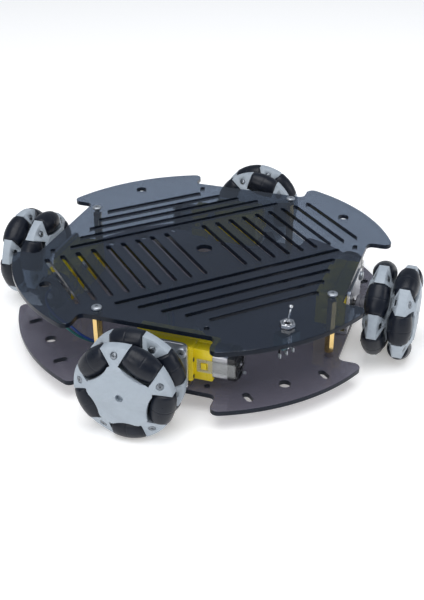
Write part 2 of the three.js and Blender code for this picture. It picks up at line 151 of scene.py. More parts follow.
def finish(name, colour, second, roughness, metallic=0.0, mottle=120.0, grain=2500.0, bump=0.1,
           **sockets):
    """A shader whose colour drifts between two close tones, with uneven gloss and a fine grain."""
    material = bpy.data.materials.new(name)
    material.use_nodes = True
    tree = material.node_tree
    shader = tree.nodes["Principled BSDF"]
    coords = tree.nodes.new("ShaderNodeTexCoord")
    clouds = noise(tree, coords, mottle, 3.0)
    mix = tree.nodes.new("ShaderNodeMix")
    mix.data_type = "RGBA"
    mix.inputs["A"].default_value = (*colour, 1)
    mix.inputs["B"].default_value = (*second, 1)
    tree.links.new(spread(tree, clouds, 0, 1), mix.inputs["Factor"])
    tree.links.new(mix.outputs["Result"], shader.inputs["Base Color"])
    uneven = noise(tree, coords, mottle * 4, 3.0)
    tree.links.new(spread(tree, uneven, *roughness), shader.inputs["Roughness"])
    fine = noise(tree, coords, grain)
    relief = tree.nodes.new("ShaderNodeBump")
    relief.inputs["Strength"].default_value = bump
    relief.inputs["Distance"].default_value = GRAIN_DEPTH
    tree.links.new(fine.outputs["Fac"], relief.inputs["Height"])
    tree.links.new(relief.outputs["Normal"], shader.inputs["Normal"])
    shader.inputs["Metallic"].default_value = metallic
    for socket, value in sockets.items():
        shader.inputs[socket.replace("_", " ")].default_value = value
    return material


def brushed(material, stretch):
    """Draws the gloss and the fine grain out along one axis, for rolled or brushed metal."""
    tree = material.node_tree
    mapping = tree.nodes.new("ShaderNodeMapping")
    mapping.inputs["Scale"].default_value = stretch
    coords = next(n for n in tree.nodes if n.type == "TEX_COORD")
    tree.links.new(coords.outputs["Object"], mapping.inputs["Vector"])
    for node in [n for n in tree.nodes if n.type == "TEX_NOISE"][1:]:
        tree.links.new(mapping.outputs["Vector"], node.inputs["Vector"])
    return material


def mix_shaders(tree, first, second):
    mix = tree.nodes.new("ShaderNodeMixShader")
    tree.links.new(first, mix.inputs[1])
    tree.links.new(second, mix.inputs[2])
    return mix


def tinted(tree, tint, shader, share):
    """Lets tinted light past a shader: share is how much of the surface the shader keeps."""
    clear = tree.nodes.new("ShaderNodeBsdfTransparent")
    clear.inputs["Color"].default_value = (*tint, 1)
    mix = mix_shaders(tree, clear.outputs[0], shader)
    mix.inputs["Fac"].default_value = share
    return mix.outputs[0]


def see_through(material, tint, share):
    tree = material.node_tree
    surface = tree.nodes["Material Output"].inputs["Surface"]
    tree.links.new(tinted(tree, tint, tree.nodes["Principled BSDF"].outputs[0], share), surface)
    return material


def cut_edge(name, inside, tint, share):
    """A dark cut wall that looks like the sheet itself from within, where refraction hides it."""
    material = see_through(
        finish(name, (0.005, 0.008, 0.015), (0.009, 0.013, 0.022), (0.14, 0.26), bump=0.08,
               mottle=90, grain=700, IOR=1.42, Specular_IOR_Level=0.22),
        tint=(0.3, 0.33, 0.4), share=0.92)
    tree = material.node_tree
    surface = tree.nodes["Material Output"].inputs["Surface"]
    outside = surface.links[0].from_socket
    haze = tree.nodes.new("ShaderNodeBsdfDiffuse")
    haze.inputs["Color"].default_value = (*inside, 1)
    mix = mix_shaders(tree, outside, tinted(tree, tint, haze.outputs[0], share))
    side = tree.nodes.new("ShaderNodeNewGeometry")
    tree.links.new(side.outputs["Backfacing"], mix.inputs["Fac"])
    tree.links.new(mix.outputs[0], surface)
    return material


SMOKE = {"tint": (0.71, 0.79, 0.91), "share": 0.58}
LOWER_SMOKE = {"tint": (0.66, 0.66, 0.72), "share": 0.6}
ACRYLIC = see_through(
    finish("smoked acrylic", (0.015, 0.021, 0.032), (0.021, 0.028, 0.040), (0.04, 0.09),
           bump=0.01, mottle=18, grain=400, IOR=1.6),
    **SMOKE)
# The bottom deck is the same smoked acrylic as the top deck. Its lighter warm grey, and the same grey
# inside its cut walls, is painted light: the floor's light seen through it in the shade of the top deck.
LOWER_ACRYLIC_PAINTED_LIGHT = see_through(
    finish("smoked acrylic below, painted light", (0.130, 0.121, 0.155), (0.149, 0.138, 0.173), (0.06, 0.12),
           bump=0.01, mottle=18, grain=400, IOR=1.5),
    **LOWER_SMOKE)
CUT_EDGE = cut_edge("laser cut edge", (0.018, 0.024, 0.036), **SMOKE)
LOWER_CUT_EDGE_PAINTED_LIGHT = cut_edge("laser cut edge below, painted light", (0.140, 0.130, 0.164), **LOWER_SMOKE)
HUB_PLASTIC = finish(
    "white wheel plastic", (0.365, 0.415, 0.465), (0.345, 0.39, 0.44), (0.4, 0.58),
    bump=0.35, mottle=260, grain=3200)
RUBBER = finish(
    "roller rubber", (0.004, 0.006, 0.012), (0.008, 0.011, 0.019), (0.27, 0.42),
    bump=0.18, mottle=160, grain=2600, IOR=1.35)
YELLOW = finish(
    "yellow plastic", (0.80, 0.62, 0.008), (0.74, 0.55, 0.008), (0.25, 0.4), bump=0.12, mottle=140)
BLACK = finish("black plastic", (0.006, 0.006, 0.008), (0.012, 0.012, 0.014), (0.32, 0.46), bump=0.2)
COLLAR = finish("coupling plastic", (0.10, 0.10, 0.12), (0.13, 0.13, 0.15), (0.4, 0.55), bump=0.2)
CAN = brushed(
    finish("motor can", (0.40, 0.40, 0.42), (0.33, 0.33, 0.35), (0.24, 0.38), metallic=1.0, bump=0.12),
    stretch=(0.15, 1, 1))
CLEAR = see_through(
    finish("clear strap", (0.52, 0.52, 0.52), (0.60, 0.60, 0.59), (0.12, 0.22), bump=0.06, IOR=1.5),
    tint=(0.93, 0.94, 0.93), share=0.26)
CLEAR_END = see_through(
    finish("clear strap end", (0.10, 0.10, 0.10), (0.14, 0.14, 0.13), (0.12, 0.22), bump=0.06, IOR=1.5),
    tint=(0.9, 0.9, 0.9), share=0.1)
ALUMINIUM = brushed(
    finish("bracket aluminium", (0.74, 0.75, 0.78), (0.66, 0.67, 0.70), (0.26, 0.4), metallic=1.0,
           bump=0.14),
    stretch=(0.08, 1, 1))
BRASS = brushed(
    finish("standoff brass", (0.80, 0.58, 0.25), (0.72, 0.50, 0.20), (0.16, 0.28), metallic=1.0,
           bump=0.08),
    stretch=(1, 1, 0.1))
STEEL = finish(
    "screw steel", (0.50, 0.53, 0.57), (0.42, 0.45, 0.48), (0.42, 0.54), metallic=1.0,
    mottle=400, bump=0.05)
FITTING_STEEL = finish(
    "fitting steel", (0.26, 0.28, 0.31), (0.17, 0.19, 0.21), (0.24, 0.36), metallic=1.0,
    mottle=400, bump=0.05)
# Dark metal that paints shade: the switch's lever socket, the shadow ring of the washer under its nut,
# and its lug blades under the deck.
DARK_METAL_PAINTED_SHADE = finish(
    "dark metal, painted shade", (0.10, 0.10, 0.11), (0.06, 0.06, 0.07), (0.2, 0.34), metallic=1.0,
    mottle=300, bump=0.05)
CHROME = finish(
    "switch chrome", (0.62, 0.63, 0.65), (0.54, 0.55, 0.57), (0.12, 0.22), metallic=1.0,
    mottle=300, bump=0.03)
SWITCH_BLUE = finish("switch case", (0.016, 0.062, 0.085), (0.024, 0.08, 0.105), (0.3, 0.45), bump=0.15)
WIRE_BLUE = finish(
    "blue insulation", (0.005, 0.032, 0.17), (0.007, 0.042, 0.21), (0.3, 0.42), mottle=300, bump=0.08)
WIRE_GREEN = finish(
    "green insulation", (0.012, 0.115, 0.105), (0.018, 0.14, 0.13), (0.3, 0.42), mottle=300, bump=0.08)


# ---- mesh helpers, in millimetres -----------------------------------------------------------------
def turned(points, degrees):
    turn = Matrix.Rotation(math.radians(degrees), 2)
    return [tuple(turn @ Vector(p)) for p in points]


def arc(x, y, radius, start, end, steps):
    angles = [math.radians(start + (end - start) * i / steps) for i in range(steps + 1)]
    return [(x + radius * math.cos(a), y + radius * math.sin(a)) for a in angles]


def ring(x, y, radius, steps=32):
    return arc(x, y, radius, 0, 360, steps)[1:]


def slot_outline(x, y, length, width, direction):
    reach = (length - width) / 2
    ends = arc(reach, 0, width / 2, -90, 90, 12) + arc(-reach, 0, width / 2, 90, 270, 12)
    return [(px + x, py + y) for px, py in turned(ends, direction)]


def rounded(x0, x1, y0, y1, radius, steps=8):
    corners = ((x1, y1, 0, -1, -1), (x0, y1, 90, 1, -1), (x0, y0, 180, 1, 1), (x1, y0, 270, -1, 1))
    points = []
    for x, y, start, sx, sy in corners:
        points += arc(x + sx * radius, y + sy * radius, radius, start, start + 90, steps)
    return points


def add_prism(bm, points, low, high, place=Matrix()):
    bottom = [bm.verts.new(place @ Vector((x, y, low))) for x, y in points]
    top = [bm.verts.new(place @ Vector((x, y, high))) for x, y in points]
    bm.faces.new(bottom[::-1])
    bm.faces.new(top)
    for i in range(len(points)):
        j = (i + 1) % len(points)
        bm.faces.new((bottom[i], bottom[j], top[j], top[i]))
    return bottom + top


def add_box(bm, x0, x1, y0, y1, z0, z1, place=Matrix()):
    return add_prism(bm, ((x0, y0), (x1, y0), (x1, y1), (x0, y1)), z0, z1, place)


def add_lathe(bm, profile, place=Matrix(), steps=48):
    """Turns (radius, height) pairs about z; a radius of 0 closes an end."""
    rings = []
    for radius, height in profile:
        if radius == 0:
            rings.append([bm.verts.new(place @ Vector((0, 0, height)))])
        else:
            circle = ring(0, 0, radius, steps)
            rings.append([bm.verts.new(place @ Vector((x, y, height))) for x, y in circle])
    for lower, upper in zip(rings, rings[1:]):
        for i in range(steps):
            j = (i + 1) % steps
            corners = [lower[k % len(lower)] for k in (i, j)] + [upper[k % len(upper)] for k in (j, i)]
            bm.faces.new(list(dict.fromkeys(corners)))
    if profile[0] == profile[-1]:
        bmesh.ops.remove_doubles(bm, verts=rings[0] + rings[-1], dist=1e-5)
        return
    for end in (rings[0], rings[-1]):
        if len(end) > 1:
            bm.faces.new(end)


def add_cylinder(bm, radius, low, high, place=Matrix(), steps=48):
    add_lathe(bm, [(0, low), (radius, low), (radius, high), (0, high)], place, steps)


def add_mesh(bm, mesh, place=Matrix()):
    start = len(bm.verts)
    bm.from_mesh(mesh)
    bm.verts.ensure_lookup_table()
    for vert in bm.verts[start:]:
        vert.co = place @ vert.co


def islands(bm):
    left = set(bm.faces)
    while left:
        island, edge_of = set(), [left.pop()]
        while edge_of:
            face = edge_of.pop()
            island.add(face)
            for edge in face.edges:
                for other in edge.link_faces:
                    if other in left:
                        left.remove(other)
                        edge_of.append(other)
        yield island


def face_outwards(bm):
    """Turns each closed shell the right way out, by the sign of its volume."""
    bmesh.ops.recalc_face_normals(bm, faces=bm.faces)
    for island in islands(bm):
        if sum(face.normal.dot(face.calc_center_median()) * face.calc_area() for face in island) < 0:
            bmesh.ops.reverse_faces(bm, faces=list(island))


def to_mesh(bm, name, sharp=30.0):
    """Closes the work on bm: outward normals, and hard edges only where faces meet at an angle."""
    face_outwards(bm)
    for face in bm.faces:
        face.smooth = True
    for edge in bm.edges:
        edge.smooth = edge.is_manifold and edge.calc_face_angle(0) < math.radians(sharp)
    mesh = bpy.data.meshes.new(name)
    bm.to_mesh(mesh)
    bm.free()
    return mesh


def holder(mesh):
    obj = bpy.data.objects.new("work", mesh)
    bpy.context.scene.collection.objects.link(obj)
    return obj


def baked(obj, name):
    """The object's mesh with its modifiers applied. The working object goes."""
    bpy.context.view_layer.update()
    graph = bpy.context.evaluated_depsgraph_get()
    mesh = bpy.data.meshes.new_from_object(obj.evaluated_get(graph), depsgraph=graph)
    mesh.name = name
    bpy.data.objects.remove(obj)
    return mesh


def carved(mesh, cutter):
    obj, tool = holder(mesh), holder(cutter)
    boolean = obj.modifiers.new("cut", "BOOLEAN")
    boolean.operation = "DIFFERENCE"
    boolean.solver = "EXACT"
    boolean.object = tool
    result = baked(obj, mesh.name)
    bpy.data.objects.remove(tool)
    return result


def softened(mesh, width, segments=2, angle=30.0):
    """Rounds every edge sharper than angle."""
    obj = holder(mesh)
    bevel = obj.modifiers.new("rounding", "BEVEL")
    bevel.width = width
    bevel.segments = segments
    bevel.limit_method = "ANGLE"
    bevel.angle_limit = math.radians(angle)
    bevel.harden_normals = True
    return baked(obj, mesh.name)


def sheet(outlines, low, high, rim=0.15):
    """A flat plate cut to an outline with holes, its edges broken by a small round."""
    curve = bpy.data.curves.new("outline", "CURVE")
    curve.dimensions = "2D"
    curve.fill_mode = "BOTH"
    for points in outlines:
        spline = curve.splines.new("POLY")
        spline.points.add(len(points) - 1)
        for spot, (x, y) in zip(spline.points, points):
            spot.co = (x, y, 0, 1)
        spline.use_cyclic_u = True
    curve.extrude = (high - low) / 2 - rim
    curve.bevel_depth = rim
    curve.bevel_resolution = 1
    curve.offset = -rim
    bm = bmesh.new()
    bm.from_mesh(baked(holder(curve), "sheet"))
    bmesh.ops.remove_doubles(bm, verts=bm.verts, dist=1e-4)
    bmesh.ops.translate(bm, verts=bm.verts, vec=(0, 0, (low + high) / 2))
    return to_mesh(bm, "sheet", sharp=14)


def scaled(mesh):
    """From millimetres to metres."""
    mesh.transform(Matrix.Scale(MM, 4))
    return mesh


def two_toned(mesh, material, other, takes_other):
    mesh.materials.append(material)
    mesh.materials.append(other)
    for face in mesh.polygons:
        face.material_index = int(takes_other(face))
    return mesh


def piece(name, mesh, material, body, slot, nodes=(), place=Matrix()):
    """Puts a finished mesh, in metres, on a body. A mesh that has its materials keeps them."""
    obj = bpy.data.objects.new(name, mesh)
    bpy.context.scene.collection.objects.link(obj)
    if not mesh.materials:
        mesh.materials.append(material)
    obj.matrix_world = place
    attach(obj, body)
    if nodes:
        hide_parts(*nodes)
    return obj


def station_place(heading):
    """x sideways, y up and z outwards, from the wheel's axis at the middle of the chassis."""
    turn = math.radians(heading)
    sideways = Vector((-math.sin(turn), math.cos(turn), 0))
    outwards = Vector((math.cos(turn), math.sin(turn), 0))
    place = Matrix((sideways, Vector((0, 0, 1)), outwards)).transposed().to_4x4()
    place.translation = (0, 0, AXLE_HEIGHT * MM)
    return place


def lift(x, y, z):
    return Matrix.Translation((x, y, z))


def spin(degrees, axis="Z"):
    return Matrix.Rotation(math.radians(degrees), 4, axis)


LENGTHWAYS = Matrix(((0, 0, 1, 0), (1, 0, 0, 0), (0, 1, 0, 0), (0, 0, 0, 1)))  # x, y, z become y, z, x


# ---- motor leads ----------------------------------------------------------------------------------
LEAD_DIAMETER = 1.6
LEAD_LENGTH = 160.0
LEAD_TIP = 5.0
SOLDER_PROFILE = [(0, -2.2), (0.95, -1.8), (1.25, -0.6), (1.0, 0.3), (0, 0.6)]
TIP_PROFILE = [(0, -0.4), (0.42, -0.4), (0.42, LEAD_TIP - 0.3), (0, LEAD_TIP)]
LAID = BOTTOM_DECK_TOP + LEAD_DIAMETER / 2  # the middle of a lead that lies on the deck
BLUE_ROUTE = (
    (-94.6, 20.4, 36.2), (-97.4, 17.6, 36.0), (-100.2, 13.6, 35.0), (-101.4, 8.0, 33.2),
    (-100.4, 1.8, 30.6), (-97.8, -4.6, 28.2), (-95.2, -8.8, 26.9), (-92.8, -11.5, 25.2),
    (-91.1, -13.4, 23.2), (-89.0, -15.0, 21.0), (-86.2, -16.6, 18.8), (-82.6, -18.4, 16.6),
    (-78.6, -20.8, 14.8), (-74.0, -23.6, LAID), (-68.0, -27.0, LAID), (-61.0, -30.0, LAID),
    (-53.0, -31.8, LAID), (-45.0, -31.0, LAID), (-37.5, -27.0, LAID), (-31.5, -20.5, LAID),
    (-27.5, -12.5, LAID), (-25.0, -4.0, LAID), (-23.0, 5.0, LAID), (-20.0, 14.0, LAID),
    (-15.0, 22.0, LAID), (-8.0, 28.0, LAID), (0.0, 32.0, LAID),
)
GREEN_ROUTE = (
    (-94.6, 20.4, 21.8), (-96.8, 18.0, 21.9), (-98.9, 14.0, 22.8), (-99.9, 8.5, 24.4),
    (-99.6, 2.5, 25.6), (-98.2, -3.5, 25.6), (-96.3, -8.0, 24.8), (-94.5, -10.2, 23.4),
    (-92.7, -11.7, 21.6), (-90.4, -13.2, 19.6), (-87.4, -14.8, 17.8), (-83.6, -16.8, 16.0),
    (-79.4, -18.8, 14.6), (-74.6, -21.2, LAID), (-68.6, -24.6, LAID), (-61.4, -27.6, LAID),
    (-53.4, -29.4, LAID), (-46.0, -28.6, LAID), (-39.5, -25.0, LAID), (-34.0, -19.0, LAID),
    (-30.4, -11.5, LAID), (-28.4, -3.0, LAID), (-27.2, 6.0, LAID), (-26.4, 15.0, LAID),
    (-26.6, 24.0, LAID), (-28.6, 33.0, LAID), (-33.0, 41.0, LAID), (-39.0, 47.0, LAID),
)


def smooth_route(points, length, steps=72, fineness=24):
    """An even walk of the given length along one smooth curve through the points."""
    points = [Vector(p) for p in points]
    points = [2 * points[0] - points[1]] + points + [2 * points[-1] - points[-2]]
    fine = []
    for a, b, c, d in zip(points, points[1:], points[2:], points[3:]):
        for t in [i / fineness for i in range(fineness)]:
            fine.append((2 * b + (c - a) * t + (2 * a - 5 * b + 4 * c - d) * t ** 2
                         + (3 * b - a - 3 * c + d) * t ** 3) / 2)
    walk, travelled = [fine[0]], 0.0
    for start, end in zip(fine, fine[1:]):
        stretch = (end - start).length
        while len(walk) <= steps and travelled + stretch >= length * len(walk) / steps:
            share = (length * len(walk) / steps - travelled) / stretch
            walk.append(start.lerp(end, share))
        travelled += stretch
    return walk


def add_lead(colour, route, material):
    """An insulated wire, the solder that holds it on its terminal, and its tinned end."""
    walk = smooth_route(route, LEAD_LENGTH)
    curve = bpy.data.curves.new(f"lead_{colour}", "CURVE")
    curve.dimensions = "3D"
    spline = curve.splines.new("POLY")
    spline.points.add(len(walk) - 1)
    for spot, place in zip(spline.points, walk):
        spot.co = (*(place * MM), 1)
    curve.bevel_depth = LEAD_DIAMETER / 2 * MM
    curve.bevel_resolution = 5
    curve.use_fill_caps = True
    curve.materials.append(material)
    lead = bpy.data.objects.new(f"lead_{colour}", curve)
    bpy.context.scene.collection.objects.link(lead)
    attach(lead, "root")
    ends = (
        ("solder", walk[0], walk[0] - walk[1], SOLDER_PROFILE),
        ("tip", walk[-1], walk[-1] - walk[-2], TIP_PROFILE),
    )
    for part, place, along, profile in ends:
        bm = bmesh.new()
        add_lathe(bm, profile, along.to_track_quat("Z", "Y").to_matrix().to_4x4(), steps=16)
        mesh = scaled(to_mesh(bm, part))
        piece(f"lead_{part}_{colour}", mesh, STEEL, "root", "screw_steel",
                                 place=lift(*(place * MM)))


def add_leads():
    add_lead("blue", BLUE_ROUTE, WIRE_BLUE)
    add_lead("green", GREEN_ROUTE, WIRE_GREEN)


# ---- fasteners ------------------------------------------------------------------------------------
def cross_recess(reach, half_width, top, depth):
    """A cross that narrows as it goes down."""
    quarter = [(reach, -half_width), (reach, half_width), (half_width, half_width)]
    points = [p for turn in QUARTERS for p in turned(quarter, turn)]
    bm = bmesh.new()
    verts = add_prism(bm, points, top - depth, top + 1)
    for vert in verts[:len(points)]:
        vert.co.xy *= 0.5
    return to_mesh(bm, "recess")


def screw_head(radius, height, reach, straight=0.55):
    """A head on z = 0 whose side is straight for part of its height, then domed, with a cross recess."""
    bm = bmesh.new()
    edge = radius * 0.12
    profile = [(radius - edge, 0), (radius, edge), (radius, height * straight)]
    for i in range(1, 8):
        angle = math.radians(90 * i / 8)
        rise = straight + (1 - straight) * math.sin(angle)
        profile.append((radius * math.cos(angle), height * rise))
    add_lathe(bm, [(0, 0)] + profile + [(0, height)], steps=32)
    head = to_mesh(bm, "head")
    return carved(head, cross_recess(reach, reach * 0.28, height, height * 0.7))


M3_HEAD = screw_head(radius=3.0, height=2.0, reach=1.6)
ARM_HEAD = screw_head(radius=1.8, height=0.95, reach=1.15)


def add_nut(bm, half_flats, hole, low, high, place=Matrix(), chamfer=0.3):
    """A hexagon with a hole down the middle and its edges taken off."""
    corner = half_flats / math.cos(math.pi / 6)
    add_mesh(bm, sheet([ring(0, 0, corner, 6), ring(0, 0, hole, 24)], low, high, rim=chamfer), place)


# ---- decks ----------------------------------------------------------------------------------------
DECK_RIM = 0.28


def deck_outline():
    """The circle of the deck with a notch for each wheel, whose corners are rounded."""
    side = NOTCH_HALF_WIDTH + NOTCH_OUTER_RADIUS
    reach = math.sqrt((DECK_RADIUS - NOTCH_OUTER_RADIUS) ** 2 - side ** 2)
    swing = math.degrees(math.atan2(side, reach))
    corner = NOTCH_FLAT + NOTCH_INNER_RADIUS
    inner = NOTCH_HALF_WIDTH - NOTCH_INNER_RADIUS
    notch = arc(reach, -side, NOTCH_OUTER_RADIUS, -swing, 90, 10)
    notch += arc(corner, -inner, NOTCH_INNER_RADIUS, 270, 180, 8)
    notch += arc(corner, inner, NOTCH_INNER_RADIUS, 180, 90, 8)
    notch += arc(reach, side, NOTCH_OUTER_RADIUS, -90, swing, 10)
    notch += arc(0, 0, DECK_RADIUS, swing, 90 - swing, 36)[1:-1]
    return [p for heading in QUARTERS for p in turned(notch, heading + 45)]


def small_holes():
    spots = [(sx * x, sy * y) for x, y in (PILLAR, PILLAR[::-1]) for sx in (-1, 1) for sy in (-1, 1)]
    return [ring(x, y, M3_HOLE, 24) for x, y in spots]


def lobe_holes():
    distance, radius = LOBE_HOLE
    return [turned(ring(distance, 0, radius), heading) for heading in QUARTERS]


def top_slots():
    """Straight rows across the middle, and rows beside them that grow shorter as they go out."""
    slots = []
    for side in (-1, 1):
        count, first, half = SHORT_SLOTS
        for i in range(count):
            distance = first + SLOT_PITCH * i
            slots.append(slot_outline(side * distance, 0, 2 * half, SLOT_WIDTH, 90))
        count, first, half = LONG_SLOTS
        for i in range(count):
            distance = first + SLOT_PITCH * i
            slots.append(slot_outline(0, side * distance, 2 * (half - SLOT_PITCH * i), SLOT_WIDTH, 0))
    return slots


def bottom_slots():
    distance, offset, length, width = LOBE_SLOT
    pair = [slot_outline(distance, side * offset, length, width, 0) for side in (-1, 1)]
    return [turned(points, heading) for heading in QUARTERS for points in pair]


def flange_holes():
    pair = [ring(FLANGE_SCREW_DISTANCE, x, M3_HOLE, 24) for x in FLANGE_SCREWS]
    return [turned(points, heading) for _, heading, _ in STATIONS for points in pair]


def deck_mesh(outlines, low, face_material, edge_material):
    """A cut plate whose polished faces and laser cut walls differ."""
    mesh = scaled(sheet(outlines, low, low + DECK_THICKNESS, DECK_RIM))
    return two_toned(mesh, face_material, edge_material, lambda face: abs(face.normal.z) < 0.5)


def add_decks():
    holes = [ring(0, 0, CENTRE_HOLE, 40)] + small_holes() + lobe_holes() + top_slots()
    top = deck_mesh([deck_outline()] + holes, TOP_DECK_Z, ACRYLIC, CUT_EDGE)
    piece("top_deck", top, ACRYLIC, "root", "deck_acrylic", ["top_plate"])
    holes = small_holes() + lobe_holes() + bottom_slots() + flange_holes()
    bottom = deck_mesh([deck_outline()] + holes, BOTTOM_DECK_Z, LOWER_ACRYLIC_PAINTED_LIGHT, LOWER_CUT_EDGE_PAINTED_LIGHT)
    piece("bottom_deck", bottom, LOWER_ACRYLIC_PAINTED_LIGHT, "root", "deck_acrylic", ["bottom_plate"])


def add_standoffs():
    bm = bmesh.new()
    add_nut(bm, half_flats=2.5, hole=1.5, low=BOTTOM_DECK_TOP, high=TOP_DECK_Z, chamfer=0.4)
    pillar = scaled(to_mesh(bm, "pillar", 14))
    bm = bmesh.new()
    add_cylinder(bm, M3_SHANK, BOTTOM_DECK_Z - 0.5, TOP_DECK_TOP + 0.5, steps=20)
    add_mesh(bm, M3_HEAD, lift(0, 0, TOP_DECK_TOP))
    add_mesh(bm, M3_HEAD, lift(0, 0, BOTTOM_DECK_Z) @ spin(180, "X"))
    screws = scaled(to_mesh(bm, "pillar screws"))
    for name, heading, _ in STATIONS:
        x, y = turned([PILLAR], heading - 45)[0]
        place = lift(x * MM, y * MM, 0)
        piece(f"pillar_{name}", pillar, BRASS, "root", "standoff_brass", [f"standoff_{name}"], place)
        place = place @ spin(heading * 1.7)  # each screw stops at its own turn
        piece(f"pillar_screws_{name}", screws, STEEL, "root", "screw_steel", [f"standoff_{name}"], place)


# ---- wheels ---------------------------------------------------------------------------------------
def row_outline():
    """The circle of the arms' ends with a window for each roller, whose inner side bulges outwards."""
    half, corner, floor = WINDOW
    depth = corner - floor
    bow = (half ** 2 + depth ** 2) / (2 * depth)
    sweep = math.degrees(math.asin(half / bow))
    edge = math.degrees(math.asin(half / ARM_RADIUS))
    points = arc(floor + bow, 0, bow, 180 + sweep, 180 - sweep, 16)
    points += arc(0, 0, ARM_RADIUS, edge, STEP - edge, 10)
    return [p for k in range(ROLLERS) for p in turned(points, k * STEP)]


def arm_screw_places():
    """A frame at the bottom of each arm's counterbore, both faces of one row."""
    height = ROW_HALF - (ARM_SCREW - ARM_SHOULDER) * math.tan(ARM_SLOPE)
    spots = []
    for k in range(ROLLERS):
        for flip in (0, 180):
            face = spin(flip, "X") @ lift(ARM_SCREW, 0, height) @ spin(math.degrees(ARM_SLOPE), "Y")
            spots.append(spin((k + 0.5) * STEP) @ face @ lift(0, 0, -ARM_SEAT[1]))
    return spots


def pin_place(k):
    """A frame at the middle of a row's roller, with z along its pin."""
    return spin(k * STEP) @ lift(ROLLER_SEAT, 0, 0) @ spin(90, "X")


def row_mesh():
    """One row of arms, its windows, roller pockets and screw seats."""
    bm = bmesh.new()
    add_prism(bm, row_outline(), -ROW_HALF, ROW_HALF)
    for k in range(ROLLERS):
        angle = math.radians((k + 0.5) * STEP)
        along = Vector((math.cos(angle), math.sin(angle), 0))
        everything = bm.verts[:] + bm.edges[:] + bm.faces[:]
        shoulder = along * ARM_SHOULDER
        bmesh.ops.bisect_plane(bm, geom=everything, plane_co=shoulder, plane_no=along, dist=1e-4)
        for vert in bm.verts:
            beyond = vert.co.dot(along) - ARM_SHOULDER
            if beyond > 1e-3:
                vert.co.z = math.copysign(ROW_HALF - beyond * math.tan(ARM_SLOPE), vert.co.z)
    solid = to_mesh(bm, "row", 20)
    bm = bmesh.new()
    end = ROLLER_HALF + 0.15
    for k in range(ROLLERS):
        add_cylinder(bm, POCKET_RADIUS, -end, end, pin_place(k), 72)
    for place in arm_screw_places():
        add_cylinder(bm, ARM_SEAT[0], 0, 3, place, 28)
    return softened(carved(solid, to_mesh(bm, "cutters")), 0.3, 2, 27)


def hub_mesh():
    """Two rows, half a step apart, with a blind hole in the middle of the outer face."""
    row = row_mesh()
    face = INNER_ROW + ROW_PITCH + ROW_HALF
    radius, depth = HUB_HOLE
    bm = bmesh.new()
    add_cylinder(bm, radius, face - depth, face + 1, steps=32)
    hole = to_mesh(bm, "hole")
    bm = bmesh.new()
    add_mesh(bm, row, lift(0, 0, INNER_ROW + ROW_PITCH))
    outer = softened(carved(to_mesh(bm, "outer row"), hole), 0.12, 2, 60)
    bm = bmesh.new()
    add_mesh(bm, outer)
    add_mesh(bm, row, lift(0, 0, INNER_ROW) @ spin(STEP / 2))
    return to_mesh(bm, "hub", 24)


def coupling_mesh():
    """The dark collar that carries the wheel on the gearbox's shaft."""
    bm = bmesh.new()
    radius, start, end = 6, 98, INNER_ROW - ROW_HALF + 1
    profile = [(0, start), (radius - 0.6, start), (radius, start + 0.6)]
    profile += [(radius, start + 2.4), (radius - 0.5, start + 2.8)]  # a shallow groove
    profile += [(radius - 0.5, start + 3.4), (radius, start + 3.8)]
    add_lathe(bm, profile + [(radius, end), (0, end)])
    return to_mesh(bm, "coupling", 30)


def hub_fittings_mesh():
    """The arm screws and the roller pins."""
    bm = bmesh.new()
    reach = WINDOW[0] + 0.8
    for z, turn in ((INNER_ROW + ROW_PITCH, 0), (INNER_ROW, STEP / 2)):
        row = lift(0, 0, z) @ spin(turn)
        for i, place in enumerate(arm_screw_places()):
            add_mesh(bm, ARM_HEAD, row @ place @ spin(37 * i))
        for k in range(ROLLERS):
            add_cylinder(bm, PIN_RADIUS, -reach, reach, row @ pin_place(k), 20)
    return to_mesh(bm, "hub fittings")


FINE_SEAM = 0.10
DEEP_SEAM = 0.16
DEEP_SEAM_CHANCE = 0.3


def roller_mesh(seam):
    """A barrel whose side follows the wheel's circle, with rounded ends, a bore and a moulding seam.

    A deep seam also has the nub that the mould's gate leaves.
    """
    half_steps, lip_length, lip_drop = 14, 0.9, 0.7
    profile = []
    for i in range(2 * half_steps + 1):
        along = ROLLER_HALF * (i / half_steps - 1)
        radius = math.sqrt(WHEEL_RADIUS ** 2 - along ** 2) - ROLLER_SEAT
        lip = max(0.0, abs(along) - (ROLLER_HALF - lip_length)) / lip_length
        radius -= lip_drop * (1 - math.sqrt(max(0.0, 1 - lip ** 2)))
        if i == half_steps:
            profile += [(radius, -0.3), (radius - seam, -0.1), (radius - seam, 0.1), (radius, 0.3)]
        else:
            profile.append((radius, along))
    end, recess, bore = ROLLER_HALF, ROLLER_HALF - 0.6, 1.55
    rim = profile[-1][0]
    face = [(rim - 0.9, end), (rim - 1.2, recess), (2.6, recess), (2.4, end), (bore, end)]
    profile += face + [(radius, -along) for radius, along in face[::-1]] + [profile[0]]
    bm = bmesh.new()
    add_lathe(bm, profile, steps=56)
    if seam == DEEP_SEAM:
        nub = [(0, 0), (0.45, 0), (0.38, 0.5), (0, 0.6)]
        add_lathe(bm, nub, lift(WHEEL_RADIUS - ROLLER_SEAT - 0.15, 0, 0) @ spin(90, "Y"), 12)
    bmesh.ops.transform(bm, matrix=spin(90, "X"), verts=bm.verts)
    return to_mesh(bm, "roller", 40)


